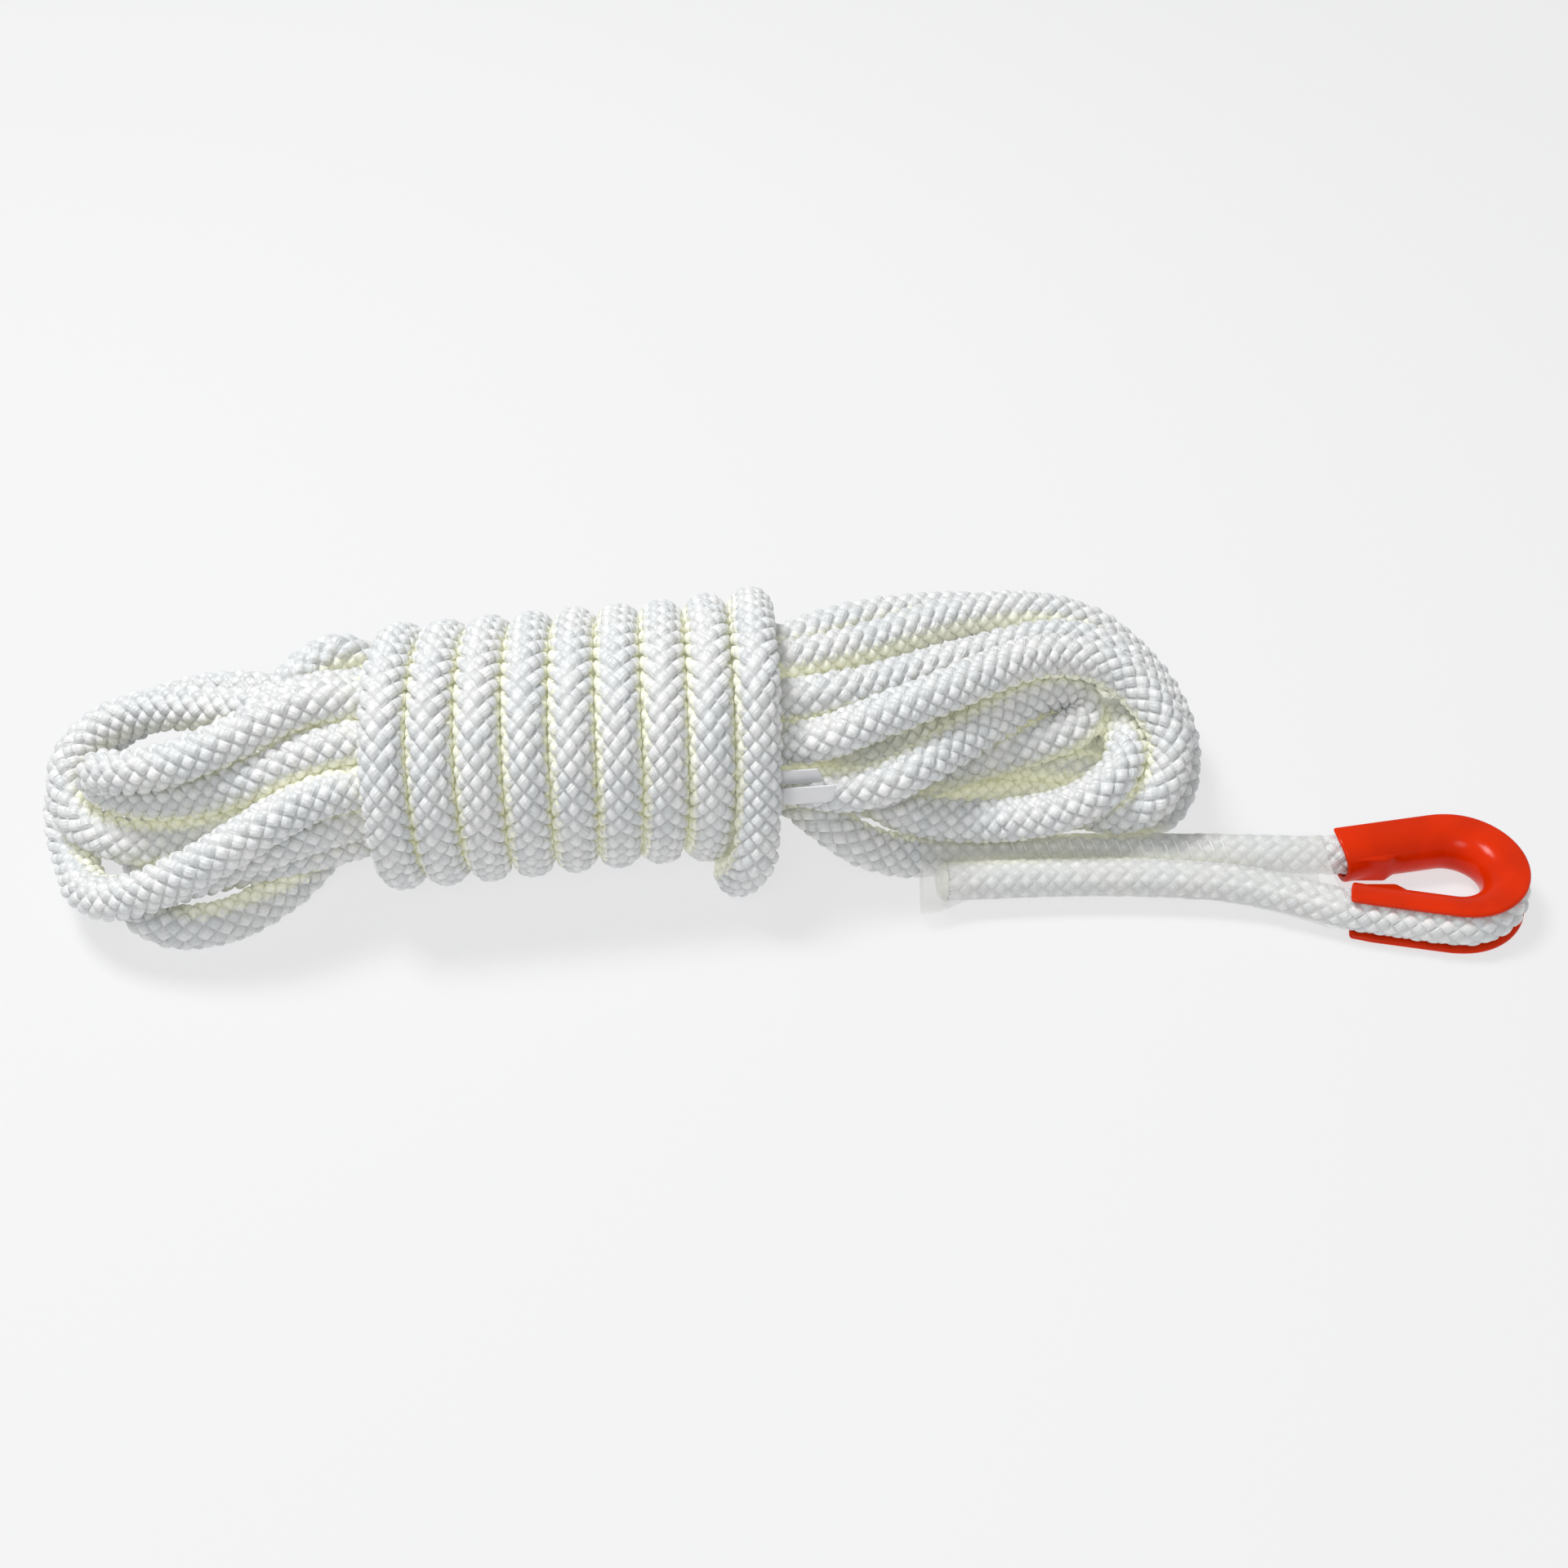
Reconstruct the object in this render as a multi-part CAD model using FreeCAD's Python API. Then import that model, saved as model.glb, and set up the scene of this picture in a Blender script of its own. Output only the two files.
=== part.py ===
import FreeCAD, Part
import math
import os

from FreeCAD import Matrix, Placement, Rotation, Vector

# Coiled dock line: one braided rope folded back and forth into a hank, frapped round its waist by
# nine turns of itself, with a sewn eye on a plastic thimble at its outer end.
# Frame: +X along the object, hank on the left and eye on the right; +Y towards the back; +Z up.
# Origin: middle of the object's box, on the surface that it lies on. Millimetres.

# Rope
ROPE_D = 12.0            # free rope
CORE_D = 7.0             # core inside the free rope's cover
EYE_ROPE_D = 10.8        # same rope, squeezed in the sleeve and in the thimble's groove
EYE_CORE_D = 6.2

# Hank: its own axis lies level, turned a little about the vertical
HANK_MIDDLE = Vector(-52.3, -4.7, 0)
HANK_YAW = 7.9           # degrees
TURN_COUNT = 9
TURN_PITCH = 11.0
TURN_OUTER_R = 35.2      # the turns stand on the floor, so this is also the axis height
FOLDS_R = 23.3           # bundle of folded runs, gripped by the turns
WAIST_LENGTH = 106.0

# Thimble: a channel bent round a teardrop, open outwards
THIMBLE_T = 14.0
EYE_CENTRE = Vector(174.0, -28.6, THIMBLE_T / 2)
EYE_BEND_R = 14.4        # to the rope's centreline in the groove
LEG_END_X = 145.0
LEG_HALF_GAP = 9.3       # from the eye's middle line to the rope's centreline at the leg ends
FLANGE_REACH = 3.8       # flange beyond the rope's centreline
GROOVE_R = EYE_ROPE_D / 2 + 0.1
PAD_LENGTH = 12.5        # flat pads that make the legs' inner faces run parallel
PAD_HALF_GAP = 2.4
PAD_HALF_HEIGHT = 4.5

# Shrink sleeve over the sewn splice
SLEEVE_WALL = 0.6
LEG_Z = THIMBLE_T / 2    # the two legs leave the thimble level

# Stitching thread across the groove between the legs
THREAD_R = 0.45
STITCH_COUNT = 12
STITCH_PITCH = 5.0
FIRST_STITCH_X = 58.0
STITCH_HALF_SPAN = 2.3

# Flat strip tucked under the last turns
STRIP_T = 0.7

# Centreline of the lead, from the hank's mouth into the shrink sleeve
LEAD_ROUTE = [
    (2, -10.5, 22.5), (10, -17.5, 20.8), (18, -21.8, 16), (26.5, -21.9, 11.3), (36, -20.6, 7.8), (42, -19.5, 7.4),
]
# Centreline of the standing leg, from the end of the lead towards the thimble's upper leg
STANDING_LEG = [
    (42, -19.5, 7.4), (48, -18.4, 7), (60, -17.1, 7), (80, -16.5, 7), (104, -16.8, 7), (125, -17.9, 7),
]
# Centreline of the tail leg, from the tail's cut end towards the thimble's lower leg
TAIL_LEG = [
    (43, -29.5, 8.3), (58, -28.3, 7.3), (76, -27.5, 7), (96, -27.8, 7), (116, -29, 7), (131, -32.6, 7),
]


def hank_place(shape):
    """Moves a shape from the hank's own axes to the object's."""
    shape.Placement = Placement(HANK_MIDDLE, Rotation(Vector(0, 0, 1), HANK_YAW))
    return shape


def rounded_path(points, ends=()):
    """Straight runs joined by tangent arcs; each arc's radius is 0.45 of its shorter run over tan(half turn)."""
    points = [Vector(*p) for p in points]
    edges, start, radii = [], points[0], []
    for before, corner, after in zip(points, points[1:], points[2:]):
        way_in, way_out = (corner - before).normalize(), (after - corner).normalize()
        turn = way_in.getAngle(way_out)
        cut = 0.45 * min((corner - before).Length, (after - corner).Length)
        radius = cut / math.tan(turn / 2)
        radii.append(round(radius, 1))
        first, last = corner - way_in * cut, corner + way_out * cut
        inward = (way_out - way_in).normalize()
        middle = corner + inward * (radius / math.cos(turn / 2) - radius)
        edges.append(Part.LineSegment(start, first).toShape())
        edges.append(Part.Arc(first, middle, last).toShape())
        start = last
    edges.append(Part.LineSegment(start, points[-1]).toShape())
    return Part.Wire(edges), radii


def tube(path, outer_d, inner_d=0.0):
    """Round tube or rod swept along a path."""
    start = path.Edges[0].firstVertex(True).Point
    way = path.Edges[0].tangentAt(path.Edges[0].FirstParameter)
    solids = []
    for diameter in (outer_d, inner_d):
        if diameter:
            ring = Part.Wire(Part.makeCircle(diameter / 2, start, way))
            solids.append(path.makePipeShell([ring], True, False))
    return solids[0].cut(solids[1]) if inner_d else solids[0]


def report_tube(name, path, radii, diameter, shape):
    expected = math.pi * diameter ** 2 / 4 * path.Length
    print(f"{name}: length {path.Length:.1f}, radii {radii}, volume {shape.Volume:.0f} of {expected:.0f}")


# ---- thimble and the rope that it holds ----

def eye_path():
    """Teardrop round the eye: upper leg, crown arc, lower leg."""
    back = EYE_CENTRE.x - LEG_END_X
    reach = math.hypot(back, LEG_HALF_GAP)
    taper = math.atan2(back, LEG_HALF_GAP) - math.acos(EYE_BEND_R / reach)
    upper = Vector(-math.sin(taper), math.cos(taper), 0) * EYE_BEND_R
    lower = Vector(upper.x, -upper.y, 0)
    upper_end = EYE_CENTRE + Vector(-back, LEG_HALF_GAP, 0)
    lower_end = EYE_CENTRE + Vector(-back, -LEG_HALF_GAP, 0)
    crown = EYE_CENTRE + Vector(EYE_BEND_R, 0, 0)
    return upper_end, EYE_CENTRE + upper, crown, EYE_CENTRE + lower, lower_end


def channel_section(centre, way):
    """Half-round web towards the eye, with two flat flanges outwards, square to the way the leg runs."""
    up = Vector(0, 0, 1)
    out = up.cross(way).normalize()
    if out.y < 0:
        out = out * -1
    half = THIMBLE_T / 2

    def at(outwards, height):
        return centre + out * outwards + up * height

    edges = [
        Part.LineSegment(at(FLANGE_REACH, half), at(0, half)).toShape(),
        Part.Arc(at(0, half), at(-half, 0), at(0, -half)).toShape(),
        Part.LineSegment(at(0, -half), at(FLANGE_REACH, -half)).toShape(),
        Part.LineSegment(at(FLANGE_REACH, -half), at(FLANGE_REACH, -GROOVE_R)).toShape(),
        Part.LineSegment(at(FLANGE_REACH, -GROOVE_R), at(0, -GROOVE_R)).toShape(),
        Part.Arc(at(0, -GROOVE_R), at(-GROOVE_R, 0), at(0, GROOVE_R)).toShape(),
        Part.LineSegment(at(0, GROOVE_R), at(FLANGE_REACH, GROOVE_R)).toShape(),
        Part.LineSegment(at(FLANGE_REACH, GROOVE_R), at(FLANGE_REACH, half)).toShape(),
    ]
    return Part.Wire(edges)


def leg_pad(side):
    """Block between a leg's rounded inner face and a flat face parallel to X."""
    upper_end, upper, _, _, _ = eye_path()
    slope = (upper.y - upper_end.y) / (upper.x - upper_end.x)
    near, far = LEG_END_X + 0.6, LEG_END_X + PAD_LENGTH

    def backed(x):
        return LEG_HALF_GAP + (x - LEG_END_X) * slope - 3.0

    corners = [(near, PAD_HALF_GAP), (far, PAD_HALF_GAP), (far, backed(far)), (near, backed(near))]
    low = LEG_Z - PAD_HALF_HEIGHT
    points = [Vector(x, EYE_CENTRE.y + side * offset, low) for x, offset in corners]
    return Part.Face(Part.makePolygon(points + points[:1])).extrude(Vector(0, 0, 2 * PAD_HALF_HEIGHT))


def make_thimble(rope_path):
    upper_end, upper, crown, lower, lower_end = eye_path()
    path = Part.Wire([
        Part.LineSegment(upper_end, upper).toShape(),
        Part.Arc(upper, crown, lower).toShape(),
        Part.LineSegment(lower, lower_end).toShape(),
    ])
    channel = path.makePipeShell([channel_section(upper_end, upper - upper_end)], True, False)
    groove = tube(path, 2 * GROOVE_R)
    pads = [leg_pad(side).cut(groove) for side in (1, -1)]
    # The rope starts to bend just inside the leg ends and has pressed its way into the web there
    return channel.fuse(pads).removeSplitter().cut(tube(rope_path, EYE_ROPE_D + 0.1))


def eye_rope_path():
    """Standing leg, once round the thimble, and the tail leg back to its cut end."""
    upper_end, upper, crown, lower, lower_end = eye_path()
    into, into_radii = rounded_path(STANDING_LEG + [tuple(upper_end), tuple(upper)])
    out_of, out_radii = rounded_path([tuple(lower), tuple(lower_end)] + TAIL_LEG[::-1])
    path = Part.Wire(into.Edges + [Part.Arc(upper, crown, lower).toShape()] + out_of.Edges)
    return path, into_radii + [EYE_BEND_R] + out_radii


def make_eye_rope(path, radii):
    cover, core = tube(path, EYE_ROPE_D, EYE_CORE_D), tube(path, EYE_CORE_D)
    report_tube("eye core", path, radii, EYE_CORE_D, core)
    return cover, core


def make_lead():
    path, radii = rounded_path(LEAD_ROUTE)
    whole = tube(path, ROPE_D)
    report_tube("lead", path, radii, ROPE_D, whole)
    return tube(path, ROPE_D, CORE_D), tube(path, CORE_D), tube(path, ROPE_D + 0.5)


# ---- splice ----

def stadium(x, y, z, half_width, half_height):
    """Flat-sided oval wire across X."""
    left, right = y - half_width + half_height, y + half_width - half_height
    low, high = z - half_height, z + half_height
    return Part.Wire([
        Part.LineSegment(Vector(x, left, high), Vector(x, right, high)).toShape(),
        Part.Arc(Vector(x, right, high), Vector(x, right + half_height, z), Vector(x, right, low)).toShape(),
        Part.LineSegment(Vector(x, right, low), Vector(x, left, low)).toShape(),
        Part.Arc(Vector(x, left, low), Vector(x, left - half_height, z), Vector(x, left, high)).toShape(),
    ])


# Inside of the sleeve: (x, y, z, half width, half height)
SLEEVE_STATIONS = [
    (37, -25.0, 7.7, 11.3, 6.5), (44, -24.2, 7.6, 11.2, 6.4), (52, -23.2, 7.3, 11.2, 5.9),
    (64, -22.4, 7, 11.2, 5.5), (84, -22.0, 7, 11.1, 5.5), (104, -22.5, 7, 11.3, 5.5),
    (120, -23.6, 7, 11.8, 5.5), (133, -25.8, 7, 13.3, 5.5), (141, -27.7, 7, 14.5, 5.5),
]


def sleeve_solid(grow, overshoot=0.0):
    wires = [stadium(x, y, z, wide + grow, high + grow) for x, y, z, wide, high in SLEEVE_STATIONS]
    if overshoot:
        wires[0].translate(Vector(-overshoot, 0, 0))
        wires[-1].translate(Vector(overshoot, 0, 0))
    return Part.makeLoft(wires, True, True)


def make_sleeve():
    return sleeve_solid(SLEEVE_WALL).cut(sleeve_solid(0.0, 0.5))


def leg_y(route, x):
    """Where a leg's centreline is across the splice, at a distance along it."""
    route = sorted(route)
    for (x0, y0, _), (x1, y1, _) in zip(route, route[1:]):
        if x0 <= x <= x1:
            return y0 + (y1 - y0) * (x - x0) / (x1 - x0)


def make_stitching():
    """Slanted stitches that lie on both legs, above and below the line where the legs meet."""
    stitches = []
    for i in range(STITCH_COUNT):
        x = FIRST_STITCH_X + i * STITCH_PITCH
        back, front = leg_y(STANDING_LEG, x), leg_y(TAIL_LEG, x)
        sideways = (back - front) / 2 - STITCH_HALF_SPAN
        rise = math.sqrt((EYE_ROPE_D / 2 + THREAD_R + 0.1) ** 2 - sideways ** 2)
        slant = 1 if i % 2 else -1
        for side in (1, -1):
            start = Vector(x, (back + front) / 2 - slant * STITCH_HALF_SPAN, LEG_Z + side * rise)
            way = Vector(STITCH_PITCH * 0.7, slant * 2 * STITCH_HALF_SPAN, 0)
            stitches.append(Part.makeCylinder(THREAD_R, way.Length, start, way))
    return Part.makeCompound(stitches)


# ---- hank, in its own axes: X along the hank from its middle, Y across, Z up from the floor ----

def oval(x, y, z, half_width, half_height):
    """Closed oval across X."""
    ring = Part.Wire(Part.makeCircle(1.0, Vector(0, 0, 0), Vector(1, 0, 0)))
    grow = Matrix()
    grow.scale(1.0, half_width, half_height)
    grow.move(Vector(x, y, z))
    return ring.transformGeometry(grow)


# (x, y, z, half width, half height) of the loops' outer shape, from the waist to the tip
LEFT_OVALS = [
    (-53, 0, 35.2, FOLDS_R, FOLDS_R), (-66, 3.5, 31.6, 27, 27.8), (-90, 4.2, 26.8, 31.2, 26.4),
    (-114, 4.8, 23.2, 31.2, 22.9), (-131, 8, 20.5, 26, 18.5), (-138, 11.5, 19.5, 15, 11), (-140.2, 12, 19.5, 7, 5),
]
RIGHT_OVALS = [
    (53, 0, 35.2, FOLDS_R, FOLDS_R), (66, -1.5, 31.8, 30, 27.4), (92, 0.5, 27.3, 33.5, 26.9),
    (126, 2.6, 24.4, 33, 24.1), (151, 0.5, 22, 27, 18.5), (159, 0.5, 22, 16, 11.5), (162, 0.5, 22, 8, 6),
]


def make_bights(ovals):
    return Part.makeLoft([oval(*o) for o in ovals], True, False)


def make_folded_runs():
    return Part.makeCylinder(
        FOLDS_R, WAIST_LENGTH, Vector(-WAIST_LENGTH / 2, 0, TURN_OUTER_R), Vector(1, 0, 0))


def make_turns():
    """Nine turns side by side as one closed ribbed sleeve."""
    half = TURN_COUNT * TURN_PITCH / 2
    valley = TURN_OUTER_R - 3.5
    inner_left = Vector(-half, 0, TURN_OUTER_R + FOLDS_R)
    inner_right = Vector(half, 0, TURN_OUTER_R + FOLDS_R)
    edges = [Part.LineSegment(inner_left, Vector(-half, 0, TURN_OUTER_R + valley)).toShape()]
    for i in range(TURN_COUNT):
        left = -half + i * TURN_PITCH
        rib = [
            Vector(left, 0, TURN_OUTER_R + valley),
            Vector(left + TURN_PITCH / 2, 0, 2 * TURN_OUTER_R),
            Vector(left + TURN_PITCH, 0, TURN_OUTER_R + valley),
        ]
        edges.append(Part.Arc(*rib).toShape())
    edges.append(Part.LineSegment(rib[-1], inner_right).toShape())
    edges.append(Part.LineSegment(inner_right, inner_left).toShape())
    face = Part.Face(Part.Wire(edges))
    return face.revolve(Vector(0, 0, TURN_OUTER_R), Vector(1, 0, 0), 360)


def make_tie_strip():
    """Flat strip with two tails, standing against the front of the folded runs."""
    outline = [(24, 28), (50, 27), (62.5, 24.5), (63.2, 29), (62.4, 31.2), (50, 32.2), (47, 32.8),
               (50, 33.6), (61, 32.4), (59, 37.4), (50, 37), (24, 37)]
    front = -(FOLDS_R + 0.1)
    points = [Vector(x, front, z) for x, z in outline]
    face = Part.Face(Part.makePolygon(points + points[:1]))
    return face.extrude(Vector(0, -STRIP_T, 0))


def main():
    os.makedirs("parts", exist_ok=True)
    lead_cover, lead_core, lead_room = make_lead()
    rope_path, radii = eye_rope_path()
    eye_cover, eye_core = make_eye_rope(rope_path, radii)
    runs, strip = hank_place(make_folded_runs()), hank_place(make_tie_strip())
    # The strip lies flattened into the turns that hold it, and the right-hand loops rest on the sleeve and the lead
    turns = hank_place(make_turns()).cut(strip)
    left, right = hank_place(make_bights(LEFT_OVALS)), hank_place(make_bights(RIGHT_OVALS))
    for tool in (lead_room, sleeve_solid(SLEEVE_WALL + 0.1, 2.0), strip):
        right = right.cut(tool)
    nodes = {
        "thimble": make_thimble(rope_path),
        "eye_rope_cover": eye_cover,
        "eye_rope_core": eye_core,
        "lead_rope_cover": lead_cover,
        "lead_rope_core": lead_core,
        "shrink_sleeve": make_sleeve(),
        "splice_stitching": make_stitching(),
        "frapping_turns": turns,
        "folded_runs": runs,
        "left_bights": left,
        "right_bights": right,
        "tie_strip": strip,
    }
    low, high = Vector(1e9, 1e9, 1e9), Vector(-1e9, -1e9, -1e9)
    for name, shape in nodes.items():
        shape.exportStep(f"parts/{name}.step")
        box = shape.optimalBoundingBox(False, False)
        low = Vector(min(low.x, box.XMin), min(low.y, box.YMin), min(low.z, box.ZMin))
        high = Vector(max(high.x, box.XMax), max(high.y, box.YMax), max(high.z, box.ZMax))
        print(f"{name}: {len(shape.Solids)} solids, valid {shape.isValid()}, volume {shape.Volume:.0f}, "
              f"x {box.XMin:.1f} {box.XMax:.1f} y {box.YMin:.1f} {box.YMax:.1f} z {box.ZMin:.1f} {box.ZMax:.1f}")
    print("box", low, high)


main()
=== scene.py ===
import math

import bpy
import numpy as np
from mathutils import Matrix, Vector


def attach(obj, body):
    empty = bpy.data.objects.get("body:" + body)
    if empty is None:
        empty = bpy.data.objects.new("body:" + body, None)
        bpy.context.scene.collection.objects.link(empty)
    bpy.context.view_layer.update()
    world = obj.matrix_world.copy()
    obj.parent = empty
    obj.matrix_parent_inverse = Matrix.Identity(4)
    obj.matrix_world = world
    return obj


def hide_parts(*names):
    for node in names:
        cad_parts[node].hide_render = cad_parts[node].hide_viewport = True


# Coiled dock line: one braided rope in a hank, drawn along one continuous centreline.
# Lengths and points are in millimetres here and are turned into metres where meshes are made.
MM = 0.001

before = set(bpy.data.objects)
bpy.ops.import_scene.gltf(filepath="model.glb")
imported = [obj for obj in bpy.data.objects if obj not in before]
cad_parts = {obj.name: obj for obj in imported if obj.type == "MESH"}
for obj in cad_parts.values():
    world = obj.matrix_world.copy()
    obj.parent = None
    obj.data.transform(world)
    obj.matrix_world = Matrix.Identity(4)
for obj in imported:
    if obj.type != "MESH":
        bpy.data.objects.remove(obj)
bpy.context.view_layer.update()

# ---- camera: 45 degrees above the front, about 0.56 m from the line ----

camera = bpy.data.objects.new("camera", bpy.data.cameras.new("camera"))
camera.data.lens = 49.9
camera.data.sensor_width = 36.0
camera.data.clip_start = 0.01
camera.location = Vector((1.2, -408.7, 423.1)) * MM
camera.rotation_euler = (math.radians(45), 0, 0)
bpy.context.scene.collection.objects.link(camera)
bpy.context.scene.camera = camera

# ---- route ----

HANK_MIDDLE = np.array([-52.3, -4.7, 35.2])
HANK_YAW = math.radians(7.9)
ALONG = np.array([math.cos(HANK_YAW), math.sin(HANK_YAW), 0.0])
BACKWARDS = np.array([-math.sin(HANK_YAW), math.cos(HANK_YAW), 0.0])
UP = np.array([0.0, 0.0, 1.0])

# The eye, from the tail's cut end to the hank's mouth
TAIL_LEG = [
    (43, -29.5, 8.3), (58, -28.2, 7.8), (76, -27.3, 7.8), (96, -27.5, 7.8), (116, -28.8, 7.5),
    (131, -32.6, 7.1), (145, -37.9, 7), (159, -40.6, 7),
]
STANDING_LEG = [
    (159, -16.6, 7), (145, -19.3, 7), (125, -18.0, 6.6), (104, -17.1, 6.0), (80, -16.9, 5.8), (60, -17.5, 6.0),
    (48, -18.6, 6.6),
]
LEAD = [(36, -20.6, 7.8), (26.5, -21.9, 11.3), (18, -21.8, 16), (10, -17.5, 20.8), (2, -10.5, 22.5)]
EYE_CENTRE = (174.0, -28.6, 7.0)
EYE_POINT_R = 14.85       # the route's points round the crown, just outside the line that they give

# LB and RB are the loops at the hank's left and right ends, in the order in which the rope was folded.
# M leads from the last run to the turns, and LAST is the last two turns and the rope's end.
LB1 = [
    (-108, -25, 20), (-119.5, -28, 19), (-132, -30, 17), (-144, -29.5, 12.5), (-155.5, -28, 7.5),
    (-166.5, -21.5, 6), (-171.5, -12, 6), (-164.5, -5, 7), (-148, -1.5, 9), (-127.5, -6, 15),
]
RB1 = [
    (15, 23, 14.5), (29.5, 17.5, 8), (46.5, 10.5, 6.5), (65.5, 7, 6), (82, -0.5, 6), (94, -5, 6),
    (101.5, -3.5, 6), (106.5, 3, 7.5), (108.5, 11.5, 10.5), (108, 19.5, 15.5), (104, 27.5, 21),
    (96.5, 34.5, 27.5), (87.5, 39.5, 33.5), (76.5, 41, 38), (61.5, 38, 42.5), (44.5, 31.5, 45),
    (33.5, 24.5, 47), (22.5, 18, 48), (11.5, 11.5, 50),
]
LB2 = [
    (-118, -3.5, 50.5), (-127.5, -8.5, 50), (-138.5, -6.5, 47.5), (-151, -3, 45), (-164, 0, 41),
    (-174, -1.5, 37), (-180.5, -5, 33), (-183.5, -11.5, 28.5), (-181.5, -19, 24.5), (-175.5, -24.5, 22),
    (-166, -28, 21), (-155, -27.5, 21), (-142.5, -26, 24.5), (-130, -23, 29), (-116.5, -21.5, 36.5),
]
RB2 = [
    (11, -21, 33.5), (18, -22, 34), (25.5, -21.5, 36), (32.5, -19.5, 38), (44, -10, 38), (55, 0, 38),
    (65.5, 9.5, 37.5), (74, 14, 36), (79.5, 13, 33), (80.5, 7.5, 30.5), (74.5, 3.5, 29.5), (63.5, 0.5, 27.5),
    (49, -1.5, 24), (34, -3.5, 19), (23.5, -3.5, 13), (13.5, 0, 8),
]
LB3 = [
    (-107, -29, 31), (-117.5, -32.5, 30), (-129.5, -36, 27.5), (-141.5, -38, 22.5), (-153.5, -38, 17),
    (-162.5, -36, 10.5), (-163, -39, 7), (-155.5, -43, 6), (-145, -43, 6), (-134.5, -37.5, 6),
    (-125, -27, 6), (-115.5, -16, 12),
]
RB3 = [
    (14, 13.5, 5.5), (29, 4, 6), (46.5, -1, 8), (63.5, -3, 11), (78.5, -8.5, 14), (90.5, -13.5, 16.5),
    (98, -13, 22.5), (101.5, -7, 29), (101, 0, 34), (96.5, 6, 39), (90.5, 11.5, 42.5), (82, 14.5, 46),
    (71, 14, 48), (60.5, 9, 50), (47, -0.5, 51), (33, -8, 50.5), (22, -12.5, 49), (11.5, -16.5, 46.5),
]
LB4 = [
    (-115, -22.5, 49), (-128.5, -26.5, 43.5), (-140.5, -26, 37.5), (-154.5, -23.5, 32.5),
    (-166.5, -19.5, 29), (-173.5, -17, 32), (-171.5, -18.5, 38), (-162.5, -24.5, 42.5), (-152.5, -25.5, 46),
    (-141, -24, 50), (-129.5, -20, 54), (-116, -13.5, 57.5),
]
RB4 = [
    (11.5, -5, 51), (22, 0.5, 48.5), (34, 7, 47), (46, 13.5, 45.5), (59.5, 21.5, 43.5), (73.5, 29, 40.5),
    (86, 29, 37.5), (95, 24.5, 33.5), (101, 18, 28), (104, 9, 24), (103.5, 2, 19.5), (99, -3, 17),
    (89, -0.5, 17), (74.5, 4, 17.5), (59, 7, 17), (43.5, 9, 18), (28, 10.5, 20), (12.5, 12.5, 24),
]
LB5 = [
    (-117, -13.5, 27), (-130.5, -10, 25), (-143, -3, 23), (-150.5, 8.5, 21), (-146, 13.5, 23),
    (-134, 13, 23), (-120, 4.5, 23),
]
RB5 = [
    (14.5, 31, 27.5), (29.5, 27, 18.5), (47, 23, 11.5), (69, 21.5, 8), (86, 20, 5.5), (96, 24.5, 7),
    (98.5, 31.5, 10.5), (93, 38, 16.5), (82.5, 43.5, 24), (68.5, 48, 29.5), (52.5, 46.5, 35),
    (34.5, 38.5, 40.5), (17.5, 30, 45),
]
LB6 = [
    (-122, 9, 34), (-135, 13, 35), (-148, 14.5, 34.5), (-161, 12.5, 32), (-174.5, 9, 28), (-184, 2, 22.5),
    (-187.5, -7.5, 17.5), (-185.5, -17.5, 13), (-180.5, -28, 12), (-176, -38, 14), (-167, -45, 18),
    (-156, -47, 24), (-142, -46, 32), (-129, -41.5, 39), (-115, -32.5, 42.5),
]
RB6 = [
    (13.5, -8, 36.5), (22.5, -6, 35), (34, 1, 32.5), (46, 8, 30), (61.5, 15.5, 27), (77, 20.5, 24),
    (87.5, 18.5, 24), (91, 9, 26.5), (91, -2.5, 29), (86.5, -12, 28), (77.5, -17.5, 24), (65, -18.5, 20.5),
    (51, -17.5, 18), (37, -16.5, 18.5), (24.5, -13, 22), (13.5, -2.5, 25.5),
]
M = [
    (-116.5, -7, 37), (-124, -2.5, 39), (-127, 2.5, 43.5), (-122.5, 9.5, 47), (-113.5, 17, 47),
]
LAST = [
    (-27.5, 24.5, 19.5), (-25.5, 13.5, 8.5), (-23, -1.5, 5.5), (-20.5, -16, 10), (-17.5, -26.5, 21),
    (-16.5, -30, 36), (-16.5, -25.5, 51), (-17, -14, 61.5), (-18, 1, 65), (-19, 16, 60.5),
    (-19.5, 26.5, 49.5), (-19, 30, 34.5), (-16.5, 26, 19.5), (-14, 15, 8.5), (-11.5, 2, 6), (-10, -8.5, 6),
    (-10.5, -18.5, 5.5), (-12, -26.5, 7.5), (-9, -32, 14), (-5, -35, 24), (-5, -16.5, 63.5), (-6.5, 1, 66),
    (-7.5, 17.5, 61.5), (-8, 29, 49.5), (-7.5, 33, 34), (-5.5, 29, 18.5), (-3.5, 18, 8),
]

OUTER_SLOT_R, INNER_SLOT_R = 17.6, 6.6    # the folded runs lie in two rings under the turns
TURN_R, TURN_PITCH = 29.3, 11.0
MIDDLE_TURN = 4
FIRST_TURN = -0.62        # where the first turn starts, in turns from the side that faces the camera
TURN_STEPS = 85           # points round the turns, twelve to a turn
FAN, UPRIGHT_TURN = 0.55, 6.5             # a turn leans this much per turn away from the upright one


def on_hank(along, angle, radius):
    """Point in the hank's own cylinder: the angle is from the back, over the top."""
    sideways = math.cos(angle) * BACKWARDS + math.sin(angle) * UP
    return HANK_MIDDLE + along * ALONG + radius * sideways


def slot(name, along):
    """Point on one of the folded runs: s0 to s9 are in the outer ring, i0 to i2 in the inner one."""
    number = int(name[1])
    if name[0] == "s":
        return on_hank(along, math.radians(12 + 36 * number), OUTER_SLOT_R)
    return on_hank(along, math.radians(15 + 120 * number), INNER_SLOT_R)


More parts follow.
